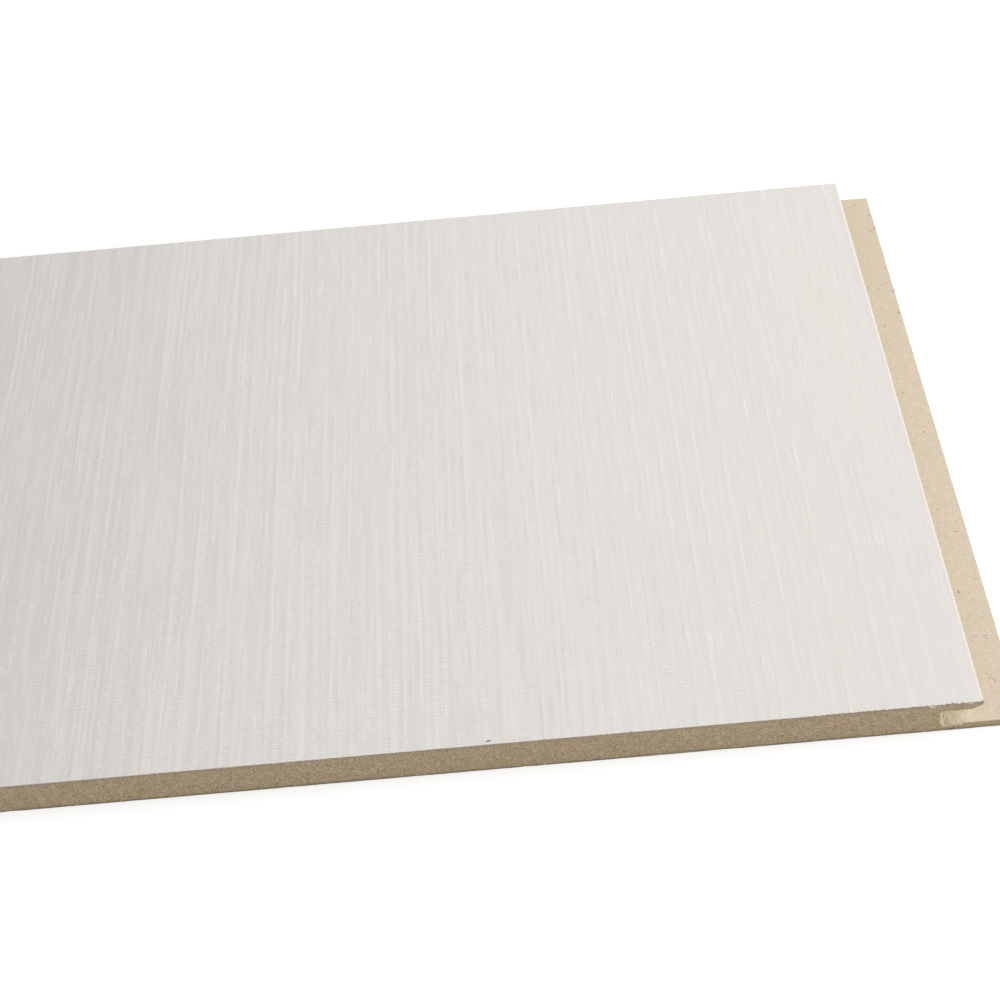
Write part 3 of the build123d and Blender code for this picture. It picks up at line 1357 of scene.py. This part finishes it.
def loose_fibres(name, tree, values):
    """Scatters fibres over a copy of the board, and keeps the fibres alone."""
    made = bpy.data.objects.new(name, board.data.copy())
    bpy.context.scene.collection.objects.link(made)
    shape_by(made, tree, values)
    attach(made, "root")
    triangles = sum(len(face.vertices) - 2 for face in made.data.polygons)
    print(name + ":", triangles, "triangles")


fibre_tree = loose_fibre_tree()
loose_fibres(
    "pale_fibres",
    fibre_tree,
    {
        "Sawn density": 300000.0,
        "Milled density": 9000.0,
        "Tuft density": 4000000.0,
        "Shortest": 0.7 * MM,
        "Longest": 1.9 * MM,
        "Slenderness": 0.045,
        "Seed": 3,
        "Finish": strand_finish("pale_strand", srgb(186, 169, 137), srgb(216, 200, 170)),
    },
)
loose_fibres(
    "bark_fibres",
    fibre_tree,
    {
        "Sawn density": 50000.0,
        "Milled density": 9000.0,
        "Tuft density": 0.0,
        "Shortest": 0.3 * MM,
        "Longest": 1.3 * MM,
        "Slenderness": 0.07,
        "Seed": 8,
        "Finish": strand_finish("bark_strand", srgb(106, 84, 62), srgb(140, 112, 82)),
    },
)

# %% [markdown]
# ## The floor
# The floor is plain white and keeps the panel's soft shadow. A white floor that is lit until it
# clips would throw too much light back on the panel, so the camera sees another mix than the
# light does: a dim grey that takes the shadow, plus a glow that brings it up to white. Far off
# it is plain white, so no horizon shows.

# %% The floor
FLOOR_HALF = 6.0
PLAIN_FROM = 0.5
PLAIN_FULL = 1.3
SHADOW_GREY = 0.5
SHADOW_GLOW = 0.63
BOUNCE_GREY = 0.9
FLOOR_CORNERS = [(-1, -1), (1, -1), (1, 1), (-1, 1)]


def white_floor():
    """Seen by the camera it is white with a soft shadow, and far off it is plain white."""
    points = [(x * FLOOR_HALF, y * FLOOR_HALF, 0.0) for x, y in FLOOR_CORNERS]
    made = mesh_object("floor", points, [(0, 1, 2, 3)], {})
    paint = bpy.data.materials.new("white_floor")
    paint.use_nodes = True
    net = Net(paint.node_tree)
    paint.node_tree.nodes.clear()
    place = net.node("ShaderNodeTexCoord").outputs["Object"]
    away = net.node("ShaderNodeVectorMath", operation="LENGTH")
    net.put(away.inputs[0], place)
    far = net.ramp(away.outputs["Value"], PLAIN_FROM, PLAIN_FULL)
    seen = net.node("ShaderNodeLightPath").outputs["Is Camera Ray"]

    def diffuse(grey):
        shader = net.node("ShaderNodeBsdfDiffuse")
        shader.inputs["Color"].default_value = (grey, grey * 0.99, grey * 0.98, 1.0)
        return shader.outputs[0]

    def glow(strength):
        shader = net.node("ShaderNodeEmission")
        shader.inputs["Strength"].default_value = strength
        return shader.outputs[0]

    def mixed(factor, first, second):
        shader = net.node("ShaderNodeMixShader")
        for socket, given in zip(shader.inputs, (factor, first, second)):
            net.put(socket, given)
        return shader.outputs[0]

    shaded = net.node("ShaderNodeAddShader")
    net.put(shaded.inputs[0], diffuse(SHADOW_GREY))
    net.put(shaded.inputs[1], glow(SHADOW_GLOW))
    shown = mixed(far, shaded.outputs[0], glow(1.0))
    surface = mixed(seen, diffuse(BOUNCE_GREY), shown)
    net.put(net.node("ShaderNodeOutputMaterial").inputs["Surface"], surface)
    made.data.materials.append(paint)


white_floor()
print("floor:", 2 * FLOOR_HALF, "metres on a side")

# %% [markdown]
# ## Light and camera
# A broad lamp to the right lights the face more than the near end, as in the photograph. A
# second one, low in front, reaches into the groove, and no reflection shows it, because it would
# glare on the foil from behind. The pale surroundings fill the rest. An image of a studio would
# do as well, but two lamps and one grey show how much each gives: together they light a level
# white surface to just under white, so each colour renders about as it is written. The camera
# looks down on the panel from above its near end, slightly rolled.

# %% The lamps and the surroundings
SKY_FILL = 0.41
LIT_PLACE = (0.05, 0.0, 0.0)
SIDE_PLACE = (0.95, 0.25, 0.8)
SIDE_SIZE = (0.9, 0.9)
SIDE_SHARE = 0.45
FRONT_PLACE = (1.7, -2.6, 1.18)
FRONT_SIZE = (1.6, 1.0)
FRONT_SHARE = 0.20


def surroundings(strength):
    """Plain white to the camera and in reflections, and dimmer as a light."""
    world = bpy.data.worlds.new("pale_studio")
    world.use_nodes = True
    net = Net(world.node_tree)
    world.node_tree.nodes.clear()
    path = net.node("ShaderNodeLightPath").outputs
    seen = net.math("MAXIMUM", path["Is Camera Ray"], path["Is Glossy Ray"])
    back = net.node("ShaderNodeBackground")
    back.inputs["Color"].default_value = (1.0, 1.0, 1.0, 1.0)
    net.put(back.inputs["Strength"], net.ramp(seen, 0.0, 1.0, strength, 1.0, "LINEAR"))
    net.put(net.node("ShaderNodeOutputWorld").inputs["Surface"], back.outputs[0])
    bpy.context.scene.world = world


def soft_lamp(name, place, size, share):
    """A lamp that lights a level surface at LIT_PLACE by share of its full colour."""
    light = bpy.data.lights.new(name, "AREA")
    light.shape = "RECTANGLE"
    light.size, light.size_y = size
    way = Vector(LIT_PLACE) - Vector(place)
    facing = abs(way.normalized().z)
    # The lamp spreads its light by pi, and a matt surface spreads what it gets by pi again.
    light.energy = share * math.pi**2 * way.length_squared / facing
    made = bpy.data.objects.new(name, light)
    made.location = place
    made.rotation_mode = "QUATERNION"
    made.rotation_quaternion = way.to_track_quat("-Z", "Y")
    bpy.context.scene.collection.objects.link(made)
    print(name + ":", round(light.energy, 2), "watts")
    return made


surroundings(SKY_FILL)
soft_lamp("softbox", SIDE_PLACE, SIDE_SIZE, SIDE_SHARE)
front = soft_lamp("front_softbox", FRONT_PLACE, FRONT_SIZE, FRONT_SHARE)
front.visible_glossy = False

# %% The camera
VIEW_TARGET = Vector((0.0518, -0.0324, 0.0101))
VIEW_DISTANCE = 0.8596
VIEW_AZIMUTH = math.radians(-1.07)
VIEW_ELEVATION = math.radians(36.51)
VIEW_ROLL = math.radians(-5.69)
VIEW_LENS = 95.36
SENSOR_WIDTH = 36.0


def camera_over_near_end():
    """Looks at VIEW_TARGET from the near end, from above, and is the scene's camera."""
    flat = math.cos(VIEW_ELEVATION)
    looks = Vector(
        (math.sin(VIEW_AZIMUTH) * flat, math.cos(VIEW_AZIMUTH) * flat, -math.sin(VIEW_ELEVATION))
    )
    lens = bpy.data.cameras.new("camera")
    lens.lens = VIEW_LENS
    lens.sensor_width = SENSOR_WIDTH
    made = bpy.data.objects.new("camera", lens)
    made.location = VIEW_TARGET - looks * VIEW_DISTANCE
    made.rotation_mode = "QUATERNION"
    made.rotation_quaternion = looks.to_track_quat("-Z", "Y") @ Quaternion((0, 0, 1), VIEW_ROLL)
    bpy.context.scene.collection.objects.link(made)
    bpy.context.scene.camera = made
    return made


bpy.context.scene.view_settings.view_transform = "Standard"
print("camera at", camera_over_near_end().location)
